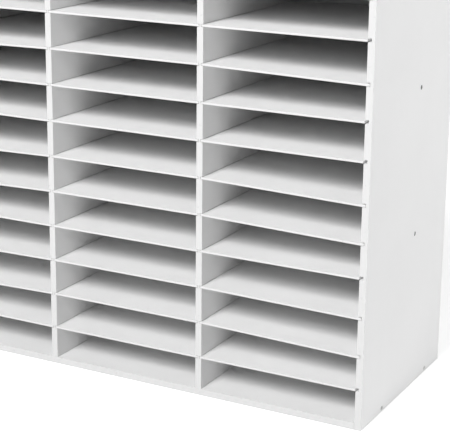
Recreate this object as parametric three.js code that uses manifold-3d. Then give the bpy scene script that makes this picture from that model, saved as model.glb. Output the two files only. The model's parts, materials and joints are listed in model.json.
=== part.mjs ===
// Pigeonhole mail sorter. Uprights stand on a bottom panel and carry a top panel, thin shelves
// slide into grooves in the uprights from the open front, and a thin back panel sits in grooves.
// Millimetres, +Z up. The open front faces -Y, and the origin lies under the middle of the case.

import * as THREE from 'three';
import { mergeVertices } from 'three/addons/utils/BufferGeometryUtils.js';
import Module from 'manifold-3d';

const wasm = await Module();
wasm.setup();

// Case
const COLUMN_NAMES = ['left', 'middle', 'right'];
const SHELVES_PER_COLUMN = 11;
const COLUMN_WIDTH = 228.6; // clear width between two uprights
const ROW_PITCH = 50.8; // from one shelf to the next
const BOTTOM_ROW_HEIGHT = 44.3; // clear height below the lowest shelf
const TOP_ROW_HEIGHT = 47.6; // clear height above the highest shelf
const DEPTH = 292;
const BOARD_THICKNESS = 9.5; // side panels, dividers, top and bottom
const PANEL_END_GAP = 0.3; // joint line between a side panel and the top or bottom panel

// Shelves and their grooves
const SHELF_THICKNESS = 3.2;
const DIVIDER_WEB = 3.1; // wood left in a divider between the grooves of its two faces
const SHELF_PLAY = 0.3; // below and above a shelf in its groove
const DIVIDER_END_GAP = 0.4; // from a shelf's end to the bottom of a divider's groove
const SIDE_GROOVE_DEPTH = 5;
const SIDE_GROOVE_ROOM = 1.6; // above a shelf in a side panel's groove
const SIDE_END_GAP = 0.6; // from a shelf's end to the bottom of a side panel's groove
const SHELF_BACK_GAP = 0.5;

// Front corner cut out of a level shelf, which clears the side panel from there to the front
const NOTCH_LENGTH = 11;
const NOTCH_GAP = 0.4;

// Rows counted from the bottom whose side panel grooves lie lower than those of the dividers,
// with the drop, so that the outer shelves of these rows slope a little towards the sides
const LOW_SIDE_GROOVES = new Map([[2, 5.0], [3, 3.4], [5, 5.4], [6, 5.4], [9, 3.9]]);

// Back panel, held on all four edges in grooves as deep as those of the shelves
const BACK_THICKNESS = 3.2;
const BACK_INSET = 8; // from the rear edges of the case to the panel's rear face
const BACK_PLAY = 0.3; // before and behind the panel in its grooves
const BACK_EDGE_GAP = 0.4; // from its edges to the bottom of the grooves
const DIVIDER_BACK_GAP = 0.3; // from the dividers to the panel

// Screws: from the side panels into the bottom and top panels, and from those into the dividers
const SCREW_FRONT_SETBACK = 72; // first screw of a row, from the front edge
const SCREW_REAR_SETBACK = 57; // second screw of a row, from the rear edge
const SCREW_HEAD_DIAMETER = 7;
const SCREW_HEAD_HEIGHT = 2.6;
const SCREW_HEAD_RIM = 0.7;
const SCREW_SHANK_DIAMETER = 4;
const SCREW_LENGTH = 32;
const SCREW_TIP = 5;
const SCREW_RECESS = 0.8; // head below the face of the board
const SCREW_SIDES = 12;

// Plugs that close spare holes in the side panels
const PLUG_RECESSES = new Map([[5, 1.2], [9, 3]]); // row, and how far below the face its plug sits
const PLUG_RISE = 15; // above the floor of the row
const PLUG_REAR_SETBACK = 122; // from the rear edge
const PLUG_DIAMETER = 5.6;
const PLUG_LENGTH = 4;
const PLUG_SIDES = 12;

const FASTENER_GAP = 0.3; // round a screw or plug in its hole, and under its head
const OVERCUT = 1; // how far a cutter reaches past an open face

// Derived sizes
const columnCount = COLUMN_NAMES.length;
const uprightPitch = COLUMN_WIDTH + BOARD_THICKNESS;
const innerHalfWidth = (columnCount * uprightPitch - BOARD_THICKNESS) / 2;
const outerHalfWidth = innerHalfWidth + BOARD_THICKNESS;
const frontY = -DEPTH / 2;
const rearY = DEPTH / 2;
const backRearY = rearY - BACK_INSET;
const backFrontY = backRearY - BACK_THICKNESS;
const grooveDepth = (BOARD_THICKNESS - DIVIDER_WEB) / 2;
const lowestShelfZ = BOARD_THICKNESS + BOTTOM_ROW_HEIGHT;
const highestShelfZ = lowestShelfZ + (SHELVES_PER_COLUMN - 1) * ROW_PITCH;
const screwYs = [frontY + SCREW_FRONT_SETBACK, rearY - SCREW_REAR_SETBACK];
const topPanelZ = highestShelfZ + SHELF_THICKNESS + TOP_ROW_HEIGHT;
const height = topPanelZ + BOARD_THICKNESS;

// Underside of the shelf that closes a row, where it leaves a divider
function shelfZ(row) {
  return lowestShelfZ + (row - 1) * ROW_PITCH;
}

function rowFloorZ(row) {
  return row === 1 ? BOARD_THICKNESS : shelfZ(row - 1) + SHELF_THICKNESS;
}

// Uprights are counted from 0, the left side panel, to the right side panel
function uprightX(index) {
  return index * uprightPitch - innerHalfWidth - BOARD_THICKNESS / 2;
}

function isSidePanel(index) {
  return index === 0 || index === columnCount;
}

// Underside of a row's shelf where it enters an upright
function supportZ(index, row) {
  const drop = isSidePanel(index) ? LOW_SIDE_GROOVES.get(row) ?? 0 : 0;
  return shelfZ(row) - drop;
}

function range(count, first = 0) {
  return Array.from({ length: count }, (_, i) => first + i);
}

// A box between two corners, with its faces exactly on them
function block(low, high) {
  const geometry = new THREE.BoxGeometry(1, 1, 1);
  const position = geometry.getAttribute('position');
  const corner = new THREE.Vector3();
  for (let i = 0; i < position.count; i += 1) {
    corner.fromBufferAttribute(position, i);
    position.setXYZ(
      i,
      corner.x < 0 ? low[0] : high[0],
      corner.y < 0 ? low[1] : high[1],
      corner.z < 0 ? low[2] : high[2],
    );
  }
  return geometry;
}

// Joins the vertices that faces share and drops the faces that have no area
function weld(geometry) {
  geometry.deleteAttribute('normal');
  geometry.deleteAttribute('uv');
  const welded = mergeVertices(geometry);
  const corners = Array.from(welded.getIndex().array);
  const kept = [];
  for (let i = 0; i < corners.length; i += 3) {
    const face = corners.slice(i, i + 3);
    if (new Set(face).size === 3) kept.push(...face);
  }
  welded.setIndex(kept);
  return welded;
}

function toSolid(geometry) {
  const welded = weld(geometry);
  const vertProperties = new Float32Array(welded.getAttribute('position').array);
  const triVerts = new Uint32Array(welded.getIndex().array);
  return new wasm.Manifold(new wasm.Mesh({ numProp: 3, vertProperties, triVerts }));
}

function cut(geometry, cutters) {
  let solid = toSolid(geometry);
  for (const cutter of cutters) {
    solid = solid.subtract(toSolid(cutter));
  }
  const { vertProperties, triVerts } = solid.getMesh();
  const result = new THREE.BufferGeometry();
  result.setAttribute('position', new THREE.BufferAttribute(vertProperties, 3));
  result.setIndex(new THREE.BufferAttribute(triVerts, 1));
  return result;
}

// Fasteners are turned about +Y, with the face that they enter at zero

// Turns what points along +Y to a direction, and moves it to its place
function stand(target, { place, direction }) {
  const turn = new THREE.Quaternion().setFromUnitVectors(new THREE.Vector3(0, 1, 0), direction);
  return target.applyMatrix4(new THREE.Matrix4().makeRotationFromQuaternion(turn).setPosition(place));
}

function rod(diameter, from, to, sides) {
  const geometry = new THREE.CylinderGeometry(diameter / 2, diameter / 2, to - from, sides);
  return geometry.translate(0, (from + to) / 2, 0);
}

function screwShape() {
  const head = SCREW_HEAD_DIAMETER / 2;
  const shank = SCREW_SHANK_DIAMETER / 2;
  const profile = [
    new THREE.Vector2(0, 0),
    new THREE.Vector2(head, 0),
    new THREE.Vector2(head, SCREW_HEAD_RIM),
    new THREE.Vector2(shank, SCREW_HEAD_HEIGHT),
    new THREE.Vector2(shank, SCREW_LENGTH - SCREW_TIP),
    new THREE.Vector2(0, SCREW_LENGTH),
  ];
  return new THREE.LatheGeometry(profile, SCREW_SIDES).translate(0, SCREW_RECESS, 0);
}

function screwHole(spot) {
  const headEnd = SCREW_RECESS + SCREW_HEAD_HEIGHT + FASTENER_GAP;
  const tipEnd = SCREW_RECESS + SCREW_LENGTH + FASTENER_GAP;
  const headBore = rod(SCREW_HEAD_DIAMETER + 2 * FASTENER_GAP, -OVERCUT, headEnd, SCREW_SIDES);
  const shankBore = rod(SCREW_SHANK_DIAMETER + 2 * FASTENER_GAP, 0, tipEnd, SCREW_SIDES);
  return [stand(headBore, spot), stand(shankBore, spot)];
}

function plugShape({ recess }) {
  return rod(PLUG_DIAMETER, recess, recess + PLUG_LENGTH, PLUG_SIDES);
}

function plugHole(spot) {
  const end = spot.recess + PLUG_LENGTH + FASTENER_GAP;
  return [stand(rod(PLUG_DIAMETER + 2 * FASTENER_GAP, -OVERCUT, end, PLUG_SIDES), spot)];
}

// Spots of the fasteners: a place on the face that each enters, and the direction into the board

function sideScrews(index, atTop) {
  const direction = new THREE.Vector3(-Math.sign(uprightX(index)), 0, 0);
  const z = atTop ? height - BOARD_THICKNESS / 2 : BOARD_THICKNESS / 2;
  const x = -direction.x * outerHalfWidth;
  return screwYs.map((y) => ({ place: new THREE.Vector3(x, y, z), direction }));
}

function dividerScrews(index, atTop) {
  const direction = new THREE.Vector3(0, 0, atTop ? -1 : 1);
  const z = atTop ? height : 0;
  return screwYs.map((y) => ({ place: new THREE.Vector3(uprightX(index), y, z), direction }));
}

function plugs(index) {
  const direction = new THREE.Vector3(-Math.sign(uprightX(index)), 0, 0);
  const x = -direction.x * outerHalfWidth;
  const y = rearY - PLUG_REAR_SETBACK;
  return [...PLUG_RECESSES].map(([row, recess]) => (
    { place: new THREE.Vector3(x, y, rowFloorZ(row) + PLUG_RISE), direction, recess }));
}

// Cutters

// Grooves in one face of an upright; side is -1 for its left face and 1 for its right
function shelfGrooves(index, side) {
  const faceX = uprightX(index) + side * BOARD_THICKNESS / 2;
  const depth = isSidePanel(index) ? SIDE_GROOVE_DEPTH : grooveDepth;
  const room = isSidePanel(index) ? SIDE_GROOVE_ROOM : SHELF_PLAY;
  const xs = [faceX + side * OVERCUT, faceX - side * depth];
  const endY = isSidePanel(index) ? backRearY : backFrontY + OVERCUT;
  return range(SHELVES_PER_COLUMN, 1).map((row) => block(
    [Math.min(...xs), frontY - OVERCUT, supportZ(index, row) - SHELF_PLAY],
    [Math.max(...xs), endY, supportZ(index, row) + SHELF_THICKNESS + room],
  ));
}

// One slab that cuts the back panel's groove in all four boards round it
function backGroove() {
  const halfWidth = innerHalfWidth + grooveDepth;
  return block(
    [-halfWidth, backFrontY - BACK_PLAY, BOARD_THICKNESS - grooveDepth],
    [halfWidth, backRearY + BACK_PLAY, topPanelZ + grooveDepth],
  );
}

// Pieces

const sidePanels = [0, columnCount];
const dividers = range(columnCount - 1, 1);

function sidePanelShape(index) {
  const board = block(
    [uprightX(index) - BOARD_THICKNESS / 2, frontY, 0],
    [uprightX(index) + BOARD_THICKNESS / 2, rearY, height],
  );
  const screws = [...sideScrews(index, false), ...sideScrews(index, true)];
  return cut(board, [
    ...shelfGrooves(index, -Math.sign(uprightX(index))),
    backGroove(),
    ...screws.flatMap(screwHole),
    ...plugs(index).flatMap(plugHole),
  ]);
}

function dividerShape(index) {
  const board = block(
    [uprightX(index) - BOARD_THICKNESS / 2, frontY, BOARD_THICKNESS],
    [uprightX(index) + BOARD_THICKNESS / 2, backFrontY - DIVIDER_BACK_GAP, topPanelZ],
  );
  const screws = [...dividerScrews(index, false), ...dividerScrews(index, true)];
  return cut(board, [
    ...shelfGrooves(index, -1),
    ...shelfGrooves(index, 1),
    ...screws.flatMap(screwHole),
  ]);
}

// The top and bottom panels lie between the side panels
function crossPanelShape(atTop) {
  const halfWidth = innerHalfWidth - PANEL_END_GAP;
  const z = atTop ? topPanelZ : 0;
  const board = block([-halfWidth, frontY, z], [halfWidth, rearY, z + BOARD_THICKNESS]);
  const screws = [
    ...sidePanels.flatMap((index) => sideScrews(index, atTop)),
    ...dividers.flatMap((index) => dividerScrews(index, atTop)),
  ];
  return cut(board, [backGroove(), ...screws.flatMap(screwHole)]);
}

function backPanelShape() {
  const reach = grooveDepth - BACK_EDGE_GAP;
  const halfWidth = innerHalfWidth + reach;
  return block(
    [-halfWidth, backFrontY, BOARD_THICKNESS - reach],
    [halfWidth, backRearY, topPanelZ + reach],
  );
}

// One end of a shelf, in the groove of an upright
function shelfEnd(index, row, inward) {
  const faceX = uprightX(index) + inward * BOARD_THICKNESS / 2;
  const atSide = isSidePanel(index);
  const reach = atSide ? SIDE_GROOVE_DEPTH - SIDE_END_GAP : grooveDepth - DIVIDER_END_GAP;
  const notched = atSide && !LOW_SIDE_GROOVES.has(row);
  return {
    faceX,
    x: faceX - inward * reach,
    frontX: notched ? faceX + inward * NOTCH_GAP : faceX - inward * reach,
    notched,
    z: supportZ(index, row),
  };
}

// A flat board, sloped where its two grooves differ in height
function shelfShape(column, row) {
  const left = shelfEnd(column, row, 1);
  const right = shelfEnd(column + 1, row, -1);
  const endY = backFrontY - SHELF_BACK_GAP;
  const plan = new THREE.Shape();
  plan.moveTo(left.x, endY);
  if (left.notched) {
    plan.lineTo(left.x, frontY + NOTCH_LENGTH);
    plan.lineTo(left.frontX, frontY + NOTCH_LENGTH);
  }
  plan.lineTo(left.frontX, frontY);
  plan.lineTo(right.frontX, frontY);
  if (right.notched) {
    plan.lineTo(right.frontX, frontY + NOTCH_LENGTH);
    plan.lineTo(right.x, frontY + NOTCH_LENGTH);
  }
  plan.lineTo(right.x, endY);
  plan.closePath();
  const board = new THREE.ExtrudeGeometry(plan, { depth: SHELF_THICKNESS, bevelEnabled: false });
  const slope = (right.z - left.z) / (right.faceX - left.faceX);
  const tilt = new THREE.Matrix4().makeShear(0, slope, 0, 0, 0, 0);
  tilt.setPosition(0, 0, left.z - slope * left.faceX);
  return board.applyMatrix4(tilt);
}

// Finishes

function whiteLaminate() {
  return new THREE.MeshStandardMaterial({ color: 0xf1f1ef, roughness: 0.45, metalness: 0 });
}

function whiteHardboard() {
  return new THREE.MeshStandardMaterial({ color: 0xeeeeec, roughness: 0.6, metalness: 0 });
}

function whitePlastic() {
  return new THREE.MeshStandardMaterial({ color: 0xdededc, roughness: 0.5, metalness: 0 });
}

function platedSteel() {
  return new THREE.MeshStandardMaterial({ color: 0x9b9c9d, roughness: 0.35, metalness: 0.9 });
}

// Assembly

const sorter = new THREE.Group();

function addPiece(name, geometry, material) {
  const mesh = new THREE.Mesh(weld(geometry), material);
  mesh.geometry.computeVertexNormals();
  mesh.name = name;
  sorter.add(mesh);
  return mesh;
}

function addFasteners(name, spots, shape, finish) {
  spots.forEach((spot, i) => stand(addPiece(`${name}_${i + 1}`, shape(spot), finish()), spot));
}

for (const index of sidePanels) {
  const side = index === 0 ? 'left' : 'right';
  addPiece(`side_panel_${side}`, sidePanelShape(index), whiteLaminate());
  addFasteners(`side_screw_${side}_bottom`, sideScrews(index, false), screwShape, platedSteel);
  addFasteners(`side_screw_${side}_top`, sideScrews(index, true), screwShape, platedSteel);
  addFasteners(`hole_plug_${side}`, plugs(index), plugShape, whitePlastic);
}

for (const index of dividers) {
  const name = `${COLUMN_NAMES[index - 1]}_${COLUMN_NAMES[index]}`;
  addPiece(`divider_${name}`, dividerShape(index), whiteLaminate());
  addFasteners(`divider_screw_${name}_bottom`, dividerScrews(index, false), screwShape, platedSteel);
  addFasteners(`divider_screw_${name}_top`, dividerScrews(index, true), screwShape, platedSteel);
}

addPiece('bottom_panel', crossPanelShape(false), whiteLaminate());
addPiece('top_panel', crossPanelShape(true), whiteLaminate());
addPiece('back_panel', backPanelShape(), whiteHardboard());

COLUMN_NAMES.forEach((columnName, column) => {
  for (const row of range(SHELVES_PER_COLUMN, 1)) {
    const name = `shelf_${columnName}_${String(row).padStart(2, '0')}`;
    addPiece(name, shelfShape(column, row), whiteHardboard());
  }
});

export default sorter;
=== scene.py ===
"""Pigeonhole mail sorter: looks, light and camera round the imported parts.

Every board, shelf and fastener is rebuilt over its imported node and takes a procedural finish: boards
and shelves with rounded edges, screws with a recess and a thread, plugs with a rim and a dimple.
Metres, +Z up, with the open front facing -Y.
"""
import json
import math

import bmesh
import bpy
from mathutils import Matrix, Vector


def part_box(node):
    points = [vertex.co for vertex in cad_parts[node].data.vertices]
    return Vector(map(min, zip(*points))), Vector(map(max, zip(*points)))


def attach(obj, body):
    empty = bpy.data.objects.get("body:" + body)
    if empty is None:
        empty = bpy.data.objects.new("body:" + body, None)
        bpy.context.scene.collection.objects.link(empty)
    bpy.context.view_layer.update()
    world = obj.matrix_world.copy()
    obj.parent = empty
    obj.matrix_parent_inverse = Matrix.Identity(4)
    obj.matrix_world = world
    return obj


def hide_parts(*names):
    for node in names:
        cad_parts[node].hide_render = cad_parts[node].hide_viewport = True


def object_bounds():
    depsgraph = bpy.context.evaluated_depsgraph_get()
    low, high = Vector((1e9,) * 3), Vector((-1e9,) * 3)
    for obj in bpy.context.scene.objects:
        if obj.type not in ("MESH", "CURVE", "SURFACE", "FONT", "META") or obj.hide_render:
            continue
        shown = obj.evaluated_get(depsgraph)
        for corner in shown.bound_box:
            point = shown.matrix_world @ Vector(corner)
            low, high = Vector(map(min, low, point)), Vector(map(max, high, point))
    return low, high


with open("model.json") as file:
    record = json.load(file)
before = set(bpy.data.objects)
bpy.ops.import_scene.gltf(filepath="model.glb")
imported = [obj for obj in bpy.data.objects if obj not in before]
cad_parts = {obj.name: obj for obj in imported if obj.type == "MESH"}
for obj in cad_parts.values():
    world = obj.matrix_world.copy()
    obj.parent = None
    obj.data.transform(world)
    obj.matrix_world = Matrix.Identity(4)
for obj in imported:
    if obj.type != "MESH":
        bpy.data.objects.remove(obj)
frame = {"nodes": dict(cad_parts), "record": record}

CAD_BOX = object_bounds()
CASE_MIDDLE = (Vector(CAD_BOX[0]) + Vector(CAD_BOX[1])) / 2
MM = 0.001

# Camera, at the photograph's viewing angle
PHOTO_WIDTH = 450
FOCAL_PIXELS = 1430
SENSOR_WIDTH = 36.0
CAMERA_PLACE = Vector((1.0078, -1.750, 0.790))
CAMERA_YAW = math.radians(27.92)
CAMERA_PITCH = math.radians(14.84)
CAMERA_ROLL = math.radians(0.60)
CAMERA_SHIFT_Y = -0.08

# Lamps look at the target, and a level is the brightness of a white card there that faces the lamp
TARGET = Vector((0.0, 0.0, 0.3))
KEY_PLACE = Vector((0.0, -3.80, 3.04))
KEY_SIZE = 1.8
KEY_LEVEL = 0.96
FILL_SIZE = 2.0
RIGHT_FILL_PLACE = Vector((2.6, 0.6, 1.1))
RIGHT_FILL_LEVEL = 0.43
LEFT_FILL_PLACE = Vector((-2.6, 0.6, 1.1))
LEFT_FILL_LEVEL = 0.44
BACK_FILL_PLACE = Vector((0.0, 3.0, 0.55))
BACK_FILL_SIZE = 1.0
BACK_FILL_LEVEL = 0.34
WORLD_LEVEL = 0.145

# Floor, which the camera sees lifted to white by its distance from the middle
FLOOR_SIZE = 16.0
FLOOR_DROP = 0.2 * MM
FLOOR_GREY = 0.75
NEAR_FLOOR = 0.7
FAR_FLOOR = 2.6
NEAR_LIFT = 0.46
FAR_LIFT = 0.95

# Finish of the boards: scales are per metre, and DARKER, PALER and TINT are steps from the base grey
CLOUD_SCALE = 7.0
CLOUD_DARKER = 0.012
CLOUD_PALER = 0.008
SPECK_SCALE = 260.0
SPECK_DARKER = 0.05
STREAK_TINT = 0.02
STREAK_BUMP = 0.3
STREAK_DEPTH = 0.05 * MM
PEEL_BUMP = 0.4
SCUFF_SCALE = 140.0
SCUFF_DARKER = 0.10
CHIP_SCALE = 900.0
# Greys of the bore walls: raw chipboard, painted darker as shade inside the holes
CHIP_AND_SHADE_DARK = 0.12
CHIP_AND_SHADE_PALE = 0.28
SHEEN_SCALE = 38.0
SHEEN_SMOOTHER = 0.05
SHEEN_ROUGHER = 0.06
BOARD_SPECULAR = 0.25

# Finish of the fasteners: pairs are the darkest and palest grey, or the smoothest and roughest spot
PLATING_SCALE = 420.0
PLATING_GREYS = (0.50, 0.66)
PLATING_ROUGHNESS = (0.28, 0.48)
TURNING_SCALE = 2600.0
TURNING_BUMP = 0.2
PLASTIC_CLOUD_SCALE = 150.0
PLASTIC_GREYS = (0.62, 0.70)
PLASTIC_ROUGHNESS = (0.5, 0.62)
PLASTIC_GRAIN_SCALE = 1800.0
PLASTIC_GRAIN_BUMP = 0.3
FINE_DEPTH = 0.05 * MM

# Most of a noise's values lie between these two
NOISE_LOW = 0.3
NOISE_HIGH = 0.7

# Colour sockets of a mix node
MIX_AMOUNT = 0
MIX_FIRST = 6
MIX_SECOND = 7
MIX_RESULT = 2

# Softened edges; a face whose normal has less Y than FRONT_FACING is a front face, which takes the darker
# edge grey as painted shade
BOARD_ROUND = 0.6 * MM
SHELF_ROUND = 0.7 * MM
ROUND_STEPS = 3
ROUND_PROFILE = 0.5
SHORTEST_ROUNDED_EDGE = 2.6 * MM
MERGE_DISTANCE = 0.001 * MM
SHARP_ANGLE = math.radians(50)
FLAT_ANGLE = math.radians(0.5)
FRONT_FACING = -0.9

# A turned rim's round has one ring half way, at this share of its size
ROUND_MIDDLE = 0.3

# Countersunk screw: CROSS_FLOOR is a share of the cross's size, and roots are shares of the shank's
# radius; the neck dips a little under the thread's root, so that the thread starts with no flat face
SCREW_SIDES = 32
HEAD_EDGE_ROUND = 0.25 * MM
HEAD_RIM = 0.7 * MM
HEAD_HEIGHT = 2.6 * MM
CROSS_LENGTH = 4.0 * MM
CROSS_WIDTH = 0.95 * MM
CROSS_DEPTH = 1.5 * MM
CROSS_FLOOR = 0.7
SHANK_RADIUS = 2.0 * MM
NECK_LENGTH = 4.0 * MM
NECK_ROOT = 0.64
THREAD_PITCH = 1.8 * MM
THREAD_ROOT = 0.68
TIP_LENGTH = 5.0 * MM

# Plug holes: the play round a plug, and how far the mouth lies before the plug's face
BORE_ROOM = 0.6 * MM
BORE_MOUTH = 3.5 * MM

# Hole plug: a dimple in a shallow dish, a rounded rim, a waist and a tapered end
PLUG_SIDES = 40
PLUG_DIMPLE = 0.45 * MM
PLUG_DISH = 0.25 * MM
PLUG_LIP = 0.05 * MM
PLUG_RIM_ROUND = 0.5 * MM

# Shares of the plug's radius
DIMPLE_FLOOR = 0.12
DIMPLE_MOUTH = 0.26
DISH_MIDDLE = 0.55
PLUG_WAIST = 0.93
PLUG_END = 0.8

# Shares of the dish's depth, of the rim's round and of the plug's length
DISH_MIDDLE_DEPTH = 0.7
LIP_WIDTH = 1.6
WAIST_DEPTHS = (0.35, 0.42, 0.52, 0.59)
TAPER_START = 0.8


# Nodes

class Tree:
    """The node tree of a material or world, with short calls to add and join nodes."""

    def __init__(self, owner):
        owner.use_nodes = True
        self.owner = owner
        self.tree = owner.node_tree
        self.tree.nodes.clear()

    def add(self, kind, values=None, **settings):
        node = self.tree.nodes.new(kind)
        for key, value in settings.items():
            setattr(node, key, value)
        for key, value in (values or {}).items():
            self.feed(node, key, value)
        return node

    def feed(self, node, key, value):
        """Links a socket, or sets a plain value."""
        socket = node.inputs[key]
        if isinstance(value, bpy.types.NodeSocket):
            self.tree.links.new(value, socket)
        else:
            socket.default_value = value

    def place(self):
        return self.add("ShaderNodeTexCoord").outputs["Object"]

    def mark(self, name):
        """A value that the mesh keeps for each face."""
        return self.add("ShaderNodeAttribute", attribute_name=name).outputs["Fac"]

    def noise(self, vector, scale, detail=3.0):
        values = {"Vector": vector, "Scale": scale, "Detail": detail}
        return self.add("ShaderNodeTexNoise", values).outputs["Fac"]

    def span(self, value, low, high, to_low, to_high):
        values = {"Value": value, "From Min": low, "From Max": high, "To Min": to_low, "To Max": to_high}
        return self.add("ShaderNodeMapRange", values).outputs["Result"]

    def spread(self, noise, to_low=0.0, to_high=1.0):
        """Noise over the whole of a range."""
        return self.span(noise, NOISE_LOW, NOISE_HIGH, to_low, to_high)

    def patches(self, noise, start, full, strength):
        """Only the high spots of a noise."""
        return self.span(noise, start, full, 0.0, strength)

    def math(self, operation, first, second):
        return self.add("ShaderNodeMath", {0: first, 1: second}, operation=operation).outputs[0]

    def mix(self, amount, first, second):
        values = {MIX_AMOUNT: amount, MIX_FIRST: first, MIX_SECOND: second}
        return self.add("ShaderNodeMix", values, data_type="RGBA").outputs[MIX_RESULT]

    def bump(self, height, strength, distance, normal=None):
        node = self.add("ShaderNodeBump", {"Height": height, "Strength": strength, "Distance": distance})
        if normal is not None:
            self.feed(node, "Normal", normal)
        return node.outputs["Normal"]

    def seen(self):
        """1 for what the camera sees, also in gloss and through glass, and 0 for light on the object."""
        path = self.add("ShaderNodeLightPath").outputs
        shown = self.math("MAXIMUM", path["Is Camera Ray"], path["Is Glossy Ray"])
        return self.math("MAXIMUM", shown, path["Is Transmission Ray"])

    def finish(self, shader, output="ShaderNodeOutputMaterial"):
        self.tree.links.new(shader.outputs[0], self.add(output).inputs["Surface"])
        return self.owner


def material_tree(name):
    return Tree(bpy.data.materials.new(name))


def grey(level):
    return (level, level, level, 1.0)


# Finishes

def white_board(name, level, edge_and_front_shade_level, grain, peel_scale, peel_depth, roughness):
    """White faced board: a faint pebble in the face, cloudy tone, duller edges, a darker grey on faces
    turned to the front as painted shade, and raw chips in bores darkened as painted shade.
    """
    tree = material_tree(name)
    place = tree.place()
    cloud = tree.spread(tree.noise(place, CLOUD_SCALE, detail=4.0))
    face = tree.mix(cloud, grey(level - CLOUD_DARKER), grey(level + CLOUD_PALER))
    speck = tree.patches(tree.noise(place, SPECK_SCALE, detail=2.0), start=0.62, full=0.78, strength=0.35)
    face = tree.mix(speck, face, grey(level - SPECK_DARKER))

    # Edges: faint streaks along the board, and small scuffs where the white has rubbed
    along = tree.add("ShaderNodeMapping", {"Vector": place, "Scale": grain}).outputs["Vector"]
    streak = tree.noise(along, 1.0)
    edge = tree.mix(streak, grey(edge_and_front_shade_level - STREAK_TINT), grey(edge_and_front_shade_level + STREAK_TINT))
    scuff = tree.patches(tree.noise(place, SCUFF_SCALE, detail=4.0), start=0.66, full=0.74, strength=0.6)
    edge = tree.mix(scuff, edge, grey(edge_and_front_shade_level - SCUFF_DARKER))
    # The edge grey also goes on every face turned to the front: painted shade that tones down the faces
    # the front lamp lights most, besides the duller cut edges
    colour = tree.mix(tree.mark("edge"), face, edge)

    # Raw chipboard in the plug holes, painted darker than the raw board as shade inside the holes
    cells = tree.add("ShaderNodeTexVoronoi", {"Vector": place, "Scale": CHIP_SCALE}).outputs["Distance"]
    chips = tree.patches(cells, start=0.1, full=0.7, strength=1.0)
    raw_core_and_shade = tree.mix(chips, grey(CHIP_AND_SHADE_DARK), grey(CHIP_AND_SHADE_PALE))
    colour = tree.mix(tree.mark("raw_core_and_shade"), colour, raw_core_and_shade)

    sheen = tree.noise(place, SHEEN_SCALE)
    fibre = tree.bump(streak, STREAK_BUMP, STREAK_DEPTH)
    peel = tree.noise(place, peel_scale, detail=2.0)
    shader = tree.add("ShaderNodeBsdfPrincipled", {
        "Base Color": colour,
        "Roughness": tree.spread(sheen, roughness - SHEEN_SMOOTHER, roughness + SHEEN_ROUGHER),
        "Specular IOR Level": BOARD_SPECULAR,
        "Normal": tree.bump(peel, PEEL_BUMP, peel_depth, fibre),
    })
    return tree.finish(shader)


def plated_steel():
    """Zinc plated steel, with fine turning marks and a dull cloud in the plating."""
    tree = material_tree("plated_steel")
    place = tree.place()
    cloud = tree.noise(place, PLATING_SCALE, detail=4.0)
    marks = tree.noise(place, TURNING_SCALE, detail=2.0)
    shader = tree.add("ShaderNodeBsdfPrincipled", {
        "Base Color": tree.mix(cloud, *map(grey, PLATING_GREYS)),
        "Metallic": 1.0,
        "Roughness": tree.spread(cloud, *PLATING_ROUGHNESS),
        "Normal": tree.bump(marks, TURNING_BUMP, FINE_DEPTH),
    })
    return tree.finish(shader)


def moulded_plastic():
    """Matte white plastic with a light spark-eroded grain."""
    tree = material_tree("white_plastic")
    place = tree.place()
    grain = tree.noise(place, PLASTIC_GRAIN_SCALE)
    cloud = tree.noise(place, PLASTIC_CLOUD_SCALE)
    shader = tree.add("ShaderNodeBsdfPrincipled", {
        "Base Color": tree.mix(cloud, *map(grey, PLASTIC_GREYS)),
        "Roughness": tree.spread(grain, *PLASTIC_ROUGHNESS),
        "Normal": tree.bump(grain, PLASTIC_GRAIN_BUMP, FINE_DEPTH),
    })
    return tree.finish(shader)


# The edge greys below, on rounded edges and front faces, are partly painted shade for the lamp in front
FINISH = {
    "white_laminate": white_board(
        "white_laminate", level=0.86, edge_and_front_shade_level=0.70, grain=(300, 300, 40),
        peel_scale=1500.0, peel_depth=0.04 * MM, roughness=0.60),
    "white_hardboard": white_board(
        "white_hardboard", level=0.87, edge_and_front_shade_level=0.73, grain=(40, 300, 900),
        peel_scale=700.0, peel_depth=0.05 * MM, roughness=0.68),
    "plated_steel": plated_steel(),
    "white_plastic": moulded_plastic(),
}
BOARD_SLOTS = ("white_laminate", "white_hardboard")


# Boards and shelves

def fastener_stand(node):
    """A packed fastener's length and radius, and the turn and place of its outer face."""
    low, high = (Vector(corner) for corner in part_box(node))
    size = high - low
    axis = max(range(3), key=lambda number: size[number])
    if node.startswith("hole_plug"):
        axis = 0  # plugs are wider than they are long, and lie along X
    middle = (low + high) / 2
    outward = 1 if middle[axis] > CASE_MIDDLE[axis] else -1
    face = middle.copy()
    face[axis] = high[axis] if outward > 0 else low[axis]
    inward = Vector((0, 0, 0))
    inward[axis] = -outward
    turn = inward.to_track_quat("Z", "Y").to_matrix().to_4x4()
    across = size[(axis + 1) % 3]
    return size[axis], across / 2, Matrix.Translation(face) @ turn


SLOT_OF = {part["node"]: part["material_slot"] for part in frame["record"]["subparts"]}
BODY_OF = {node: body for body, nodes in frame["record"]["behaviour"]["bodies"].items() for node in nodes}
FASTENERS = {node: fastener_stand(node) for node, slot in SLOT_OF.items() if slot not in BOARD_SLOTS}


def is_corner(edge):
    """A convex corner of a board, long enough to be softened."""
    return (len(edge.link_faces) == 2 and edge.is_convex
            and edge.calc_face_angle() > SHARP_ANGLE
            and edge.calc_length() > SHORTEST_ROUNDED_EDGE)


def in_bore(point):
    """Whether a point of a board lies on the wall or floor of a plug's hole."""
    for node, (length, radius, stand) in FASTENERS.items():
        if SLOT_OF[node] != "white_plastic":
            continue
        local = stand.inverted() @ point
        if local.xy.length < radius + BORE_ROOM and -BORE_MOUTH < local.z < length + BORE_ROOM:
            return True
    return False


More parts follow.
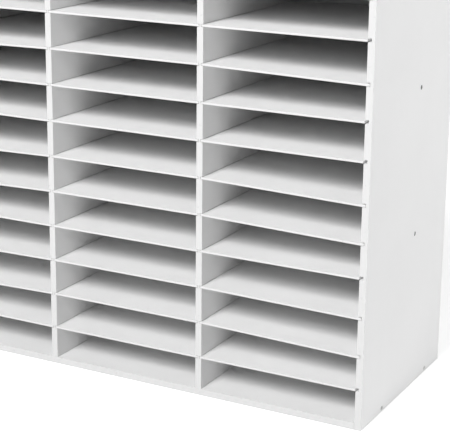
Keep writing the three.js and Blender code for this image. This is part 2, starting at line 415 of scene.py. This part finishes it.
def smooth_mesh(shape, name):
    """Turns a built shape into a mesh that is smooth except at sharp edges."""
    for face in shape.faces:
        face.smooth = True
    mesh = bpy.data.meshes.new(name)
    shape.to_mesh(mesh)
    shape.free()
    mesh.set_sharp_from_angle(angle=SHARP_ANGLE)
    return mesh


def softened(node, width):
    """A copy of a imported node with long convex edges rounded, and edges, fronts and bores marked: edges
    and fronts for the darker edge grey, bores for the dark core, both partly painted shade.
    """
    shape = bmesh.new()
    shape.from_mesh(frame["nodes"][node].data)
    edge_and_front_shade_mark = shape.faces.layers.float.new("edge")
    core_and_shade_mark = shape.faces.layers.float.new("raw_core_and_shade")
    bmesh.ops.remove_doubles(shape, verts=shape.verts, dist=MERGE_DISTANCE)
    bmesh.ops.dissolve_limit(shape, angle_limit=FLAT_ANGLE, verts=shape.verts, edges=shape.edges)
    corners = [edge for edge in shape.edges if is_corner(edge)]
    made = bmesh.ops.bevel(
        shape, geom=corners, offset=width, offset_type="OFFSET", segments=ROUND_STEPS,
        profile=ROUND_PROFILE, affect="EDGES", clamp_overlap=True)
    for face in made["faces"]:
        face[edge_and_front_shade_mark] = 1.0
    shape.normal_update()
    for face in shape.faces:
        # faces turned to the front take the edge grey, as painted shade
        if face.normal.y < FRONT_FACING:
            face[edge_and_front_shade_mark] = 1.0
        # bore walls take the dark core colour, as painted shade inside the holes
        if in_bore(face.calc_center_median()):
            face[core_and_shade_mark] = 1.0
    return smooth_mesh(shape, node)


# Screws and plugs, built along +Z with their outer face at zero

def ring(shape, radius, depth, sides):
    return [shape.verts.new((radius * math.cos(turn), radius * math.sin(turn), depth))
            for turn in (2 * math.pi * side / sides for side in range(sides))]


def join_rings(shape, outer, inner):
    """Walls between two rings with the same number of corners."""
    count = len(outer)
    for side in range(count):
        after = (side + 1) % count
        shape.faces.new((outer[side], outer[after], inner[after], inner[side]))


def close_ring(shape, around, depth):
    """Fans a ring in to a point on the axis."""
    point = shape.verts.new((0, 0, depth))
    for side, vert in enumerate(around):
        shape.faces.new((vert, around[(side + 1) % len(around)], point))


def cross_outline(shape, length, width, depth):
    """The twelve corners of a cross, round the axis."""
    far, near = length / 2, width / 2
    arm = [(far, -near), (far, near), (near, near)]
    corners = []
    for quarter in range(4):
        turn = Matrix.Rotation(quarter * math.pi / 2, 2)
        corners += [turn @ Vector(corner) for corner in arm]
    return [shape.verts.new((corner.x, corner.y, depth)) for corner in corners]


def loop_edges(shape, loop):
    """The edges of a closed loop, made where they are missing."""
    found = []
    for step, vert in enumerate(loop):
        pair = (vert, loop[(step + 1) % len(loop)])
        found.append(shape.edges.get(pair) or shape.edges.new(pair))
    return found


def add_thread(shape, neck, start, end, crest, root):
    """A helical thread from the neck's ring down to a ring at the end, which it returns."""
    sides = len(neck)
    steps = int((end - start) / THREAD_PITCH - 1) * sides
    valleys, ridges = [], []
    for step in range(steps + 1):
        turn = 2 * math.pi * step / sides
        across = Vector((math.cos(turn), math.sin(turn), 0))
        depth = start + THREAD_PITCH * step / sides
        valleys.append(shape.verts.new(across * root + Vector((0, 0, depth))))
        ridges.append(shape.verts.new(across * crest + Vector((0, 0, depth + THREAD_PITCH / 2))))
    for step in range(steps):
        shape.faces.new((valleys[step], valleys[step + 1], ridges[step + 1], ridges[step]))
        if step + sides < steps:
            below = (valleys[step + sides + 1], valleys[step + sides])
            shape.faces.new((ridges[step], ridges[step + 1], *below))

    # The first turn starts at the neck's ring, and the last one runs out at the end's ring
    for step in range(sides):
        shape.faces.new((neck[step], neck[(step + 1) % sides], valleys[step + 1], valleys[step]))
    shape.faces.new((neck[0], valleys[0], ridges[0], valleys[sides]))
    last = ring(shape, root, end, sides)
    tail = ridges[steps - sides:]
    for step in range(sides):
        shape.faces.new((tail[step], tail[step + 1], last[(step + 1) % sides], last[step]))
    shape.faces.new((tail[0], valleys[steps], tail[sides], last[0]))
    return last


def screw_mesh(radius, length):
    """A countersunk screw with a cross recess and a thread."""
    shape = bmesh.new()
    face = ring(shape, radius - HEAD_EDGE_ROUND, 0, SCREW_SIDES)
    cross = cross_outline(shape, CROSS_LENGTH, CROSS_WIDTH, 0)
    borders = loop_edges(shape, face) + loop_edges(shape, cross)
    bmesh.ops.triangle_fill(shape, use_beauty=True, edges=borders)
    floor = cross_outline(shape, CROSS_LENGTH * CROSS_FLOOR, CROSS_WIDTH * CROSS_FLOOR, CROSS_DEPTH)
    join_rings(shape, cross, floor)
    close_ring(shape, floor, CROSS_DEPTH)

    neck_depth = HEAD_HEIGHT + NECK_LENGTH
    thread_depth = neck_depth + SHANK_RADIUS * (1 - NECK_ROOT)
    sections = [
        (radius - HEAD_EDGE_ROUND * ROUND_MIDDLE, HEAD_EDGE_ROUND * ROUND_MIDDLE),
        (radius, HEAD_EDGE_ROUND),
        (radius, HEAD_RIM),
        (SHANK_RADIUS, HEAD_HEIGHT),
        (SHANK_RADIUS, neck_depth),
        (SHANK_RADIUS * NECK_ROOT, thread_depth),
    ]
    last = face
    for section_radius, depth in sections:
        section = ring(shape, section_radius, depth, SCREW_SIDES)
        join_rings(shape, last, section)
        last = section
    start, end = thread_depth + THREAD_PITCH / 4, length - TIP_LENGTH
    last = add_thread(shape, last, start, end, SHANK_RADIUS, SHANK_RADIUS * THREAD_ROOT)
    close_ring(shape, last, length)
    bmesh.ops.recalc_face_normals(shape, faces=shape.faces)
    return smooth_mesh(shape, "screw")


def plug_mesh(radius, length):
    """A round hole plug."""
    shape = bmesh.new()
    waist_in, waist_top, waist_bottom, waist_out = (length * share for share in WAIST_DEPTHS)
    sections = [
        (radius * DIMPLE_FLOOR, PLUG_DISH + PLUG_DIMPLE),
        (radius * DIMPLE_MOUTH, PLUG_DISH),
        (radius * DISH_MIDDLE, PLUG_DISH * DISH_MIDDLE_DEPTH),
        (radius - PLUG_RIM_ROUND * LIP_WIDTH, PLUG_LIP),
        (radius - PLUG_RIM_ROUND, 0),
        (radius - PLUG_RIM_ROUND * ROUND_MIDDLE, PLUG_RIM_ROUND * ROUND_MIDDLE),
        (radius, PLUG_RIM_ROUND),
        (radius, waist_in),
        (radius * PLUG_WAIST, waist_top),
        (radius * PLUG_WAIST, waist_bottom),
        (radius, waist_out),
        (radius, length * TAPER_START),
        (radius * PLUG_END, length),
    ]
    rings = [ring(shape, section_radius, depth, PLUG_SIDES) for section_radius, depth in sections]
    for outer, inner in zip(rings, rings[1:]):
        join_rings(shape, outer, inner)
    close_ring(shape, rings[0], PLUG_DISH + PLUG_DIMPLE)
    close_ring(shape, rings[-1], length)
    bmesh.ops.recalc_face_normals(shape, faces=shape.faces)
    return smooth_mesh(shape, "hole_plug")


# Pieces

def add_piece(name, mesh, node, slot, matrix=None):
    """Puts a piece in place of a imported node, on the node's body."""
    piece = bpy.data.objects.new(name, mesh)
    bpy.context.scene.collection.objects.link(piece)
    if matrix is not None:
        piece.matrix_world = matrix
    mesh.materials.clear()
    mesh.materials.append(FINISH[slot])
    flatten = piece.modifiers.new("flat_faces", "WEIGHTED_NORMAL")
    flatten.keep_sharp = True
    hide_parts(node)
    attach(piece, BODY_OF[node])


shared_meshes = {}
for node, slot in SLOT_OF.items():
    if slot in BOARD_SLOTS:
        width = SHELF_ROUND if node.startswith("shelf") else BOARD_ROUND
        add_piece(node + "_board", softened(node, width), node, slot)
    else:
        length, radius, stand = FASTENERS[node]
        if slot not in shared_meshes:
            made = plug_mesh if slot == "white_plastic" else screw_mesh
            shared_meshes[slot] = made(radius, length)
        add_piece(node + "_turned", shared_meshes[slot], node, slot, stand)


# Stage

def white_floor():
    """Floor that keeps the shadow; what the camera sees of it is lifted to white far out."""
    tree = material_tree("white_floor")
    away = tree.add("ShaderNodeVectorMath", {0: tree.place()}, operation="LENGTH").outputs["Value"]
    lift = tree.span(away, NEAR_FLOOR, FAR_FLOOR, NEAR_LIFT, FAR_LIFT)
    glow_level = tree.math("MULTIPLY", tree.seen(), lift)
    diffuse = tree.add("ShaderNodeBsdfDiffuse", {"Color": grey(FLOOR_GREY)})
    glow = tree.add("ShaderNodeEmission", {"Color": grey(1.0), "Strength": glow_level})
    return tree.finish(tree.add("ShaderNodeAddShader", {0: diffuse.outputs[0], 1: glow.outputs[0]}))


def add_floor():
    mesh = bpy.data.meshes.new("floor")
    half = FLOOR_SIZE / 2
    corners = [(-half, -half, 0), (half, -half, 0), (half, half, 0), (-half, half, 0)]
    mesh.from_pydata(corners, [], [(0, 1, 2, 3)])
    mesh.materials.append(white_floor())
    floor = bpy.data.objects.new("floor", mesh)
    floor.location.z = -FLOOR_DROP
    bpy.context.scene.collection.objects.link(floor)


def set_world():
    """White to the camera and in reflections, and a softer level as light."""
    world = bpy.data.worlds.new("studio")
    bpy.context.scene.world = world
    tree = Tree(world)
    level = tree.span(tree.seen(), 0.0, 1.0, WORLD_LEVEL, 1.0)
    background = tree.add("ShaderNodeBackground", {"Color": grey(1.0), "Strength": level})
    tree.finish(background, "ShaderNodeOutputWorld")


def add_lamp(name, place, size, level):
    """A round soft lamp that gives a white card at the target, facing it, this brightness."""
    lamp = bpy.data.lights.new(name, "AREA")
    lamp.shape = "DISK"
    lamp.size = size
    lamp.energy = level * math.pi ** 2 * (place - TARGET).length ** 2
    lamp_object = bpy.data.objects.new(name, lamp)
    lamp_object.location = place
    lamp_object.rotation_mode = "QUATERNION"
    lamp_object.rotation_quaternion = (TARGET - place).to_track_quat("-Z", "Y")
    bpy.context.scene.collection.objects.link(lamp_object)


def add_camera():
    camera = bpy.data.cameras.new("camera")
    camera.sensor_width = SENSOR_WIDTH
    camera.lens = FOCAL_PIXELS * SENSOR_WIDTH / PHOTO_WIDTH
    camera.shift_y = CAMERA_SHIFT_Y
    camera_object = bpy.data.objects.new("camera", camera)
    turn = (Matrix.Rotation(CAMERA_YAW, 4, "Z")
            @ Matrix.Rotation(math.pi / 2 - CAMERA_PITCH, 4, "X")
            @ Matrix.Rotation(CAMERA_ROLL, 4, "Z"))
    camera_object.matrix_world = Matrix.Translation(CAMERA_PLACE) @ turn
    bpy.context.scene.collection.objects.link(camera_object)
    bpy.context.scene.camera = camera_object


add_floor()
set_world()
add_lamp("key_lamp", KEY_PLACE, KEY_SIZE, KEY_LEVEL)
add_lamp("right_fill_lamp", RIGHT_FILL_PLACE, FILL_SIZE, RIGHT_FILL_LEVEL)
add_lamp("left_fill_lamp", LEFT_FILL_PLACE, FILL_SIZE, LEFT_FILL_LEVEL)
add_lamp("back_fill_lamp", BACK_FILL_PLACE, BACK_FILL_SIZE, BACK_FILL_LEVEL)
add_camera()
bpy.context.scene.view_settings.view_transform = "Standard"
